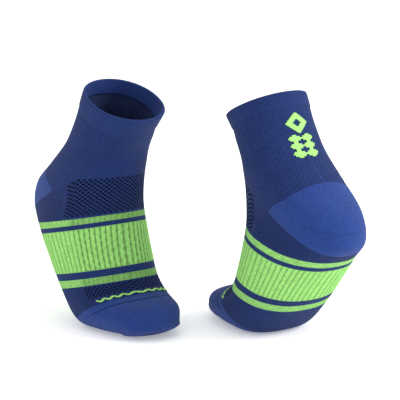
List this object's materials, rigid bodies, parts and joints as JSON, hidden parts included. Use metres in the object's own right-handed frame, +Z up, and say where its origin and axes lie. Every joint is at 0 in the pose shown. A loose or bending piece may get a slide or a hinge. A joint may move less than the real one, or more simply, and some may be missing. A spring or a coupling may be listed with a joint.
{
  "type": "ankle running socks",
  "caption": "Pair of quarter-length knitted running socks with a ribbed arch band, vent panels, a heel pocket and a linked toe, standing on their toes.",
  "frame": {"origin": "on the ground, midway between the two socks", "axes": "+Z up; the left sock points its toe along -Y and the right sock along +Y; +X runs from the left sock to the right"},
  "size_m": [0.2088, 0.3376, 0.2345],
  "materials": {
    "leg_blue": "plain jersey knit, matte",
    "heel_blue": "close terry-backed knit, matte",
    "vent_blue": "open mesh knit, matte",
    "lime": "ribbed elastic knit, matte",
    "elastic": "covered elastic thread"
  },
  "bodies": {
    "left_leg": {"left_cuff_welt": "leg_blue", "left_welt_elastic": "elastic", "left_leg_knit": "leg_blue", "left_leg_emblem": "lime"},
    "left_foot": {"left_ankle_vent": "vent_blue", "left_heel_upper": "heel_blue", "left_heel_lower": "heel_blue", "left_heel_surround": "leg_blue", "left_upper_green_stripe": "lime", "left_upper_blue_stripe": "leg_blue", "left_arch_band": "lime", "left_lower_blue_stripe": "leg_blue", "left_lower_green_stripe": "lime"},
    "left_toe": {"left_forefoot_vent": "vent_blue", "left_forefoot_knit": "leg_blue", "left_toe_zigzag": "lime", "left_toe_band": "heel_blue", "left_toe_link_seam": "vent_blue", "left_toe_pocket": "heel_blue"},
    "right_leg": {"right_cuff_welt": "leg_blue", "right_welt_elastic": "elastic", "right_leg_knit": "leg_blue", "right_leg_emblem": "lime"},
    "right_foot": {"right_ankle_vent": "vent_blue", "right_heel_upper": "heel_blue", "right_heel_lower": "heel_blue", "right_heel_surround": "leg_blue", "right_upper_green_stripe": "lime", "right_upper_blue_stripe": "leg_blue", "right_arch_band": "lime", "right_lower_blue_stripe": "leg_blue", "right_lower_green_stripe": "lime"},
    "right_toe": {"right_forefoot_vent": "vent_blue", "right_forefoot_knit": "leg_blue", "right_toe_zigzag": "lime", "right_toe_band": "heel_blue", "right_toe_link_seam": "vent_blue", "right_toe_pocket": "heel_blue"}
  },
  "joints": [
    {"name": "left_toe_flex", "type": "hinge", "parent": "left_toe", "child": "left_foot", "pos_m": [-0.056, 0.057, 0.02], "axis": [1, 0, 0], "range_deg": [-25, 8], "stiffness_Nm_per_rad": 1.5, "deforming": ["left_forefoot_vent", "left_forefoot_knit"]},
    {"name": "left_ankle_flex", "type": "hinge", "parent": "left_foot", "child": "left_leg", "pos_m": [-0.056, 0.085, 0.148], "axis": [1, 0, 0], "range_deg": [-12, 20], "stiffness_Nm_per_rad": 0.6, "deforming": ["left_leg_knit"]},
    {"name": "right_toe_flex", "type": "hinge", "parent": "right_toe", "child": "right_foot", "pos_m": [0.056, -0.057, 0.02], "axis": [-1, 0, 0], "range_deg": [-25, 8], "stiffness_Nm_per_rad": 1.5, "deforming": ["right_forefoot_vent", "right_forefoot_knit"]},
    {"name": "right_ankle_flex", "type": "hinge", "parent": "right_foot", "child": "right_leg", "pos_m": [0.056, -0.085, 0.148], "axis": [-1, 0, 0], "range_deg": [-12, 20], "stiffness_Nm_per_rad": 0.6, "deforming": ["right_leg_knit"]},
    {"name": "pair_slide", "type": "slide", "parent": "left_toe", "child": "right_toe", "axis": [1, 0, 0], "range_m": [0, 0.15]}
  ]
}
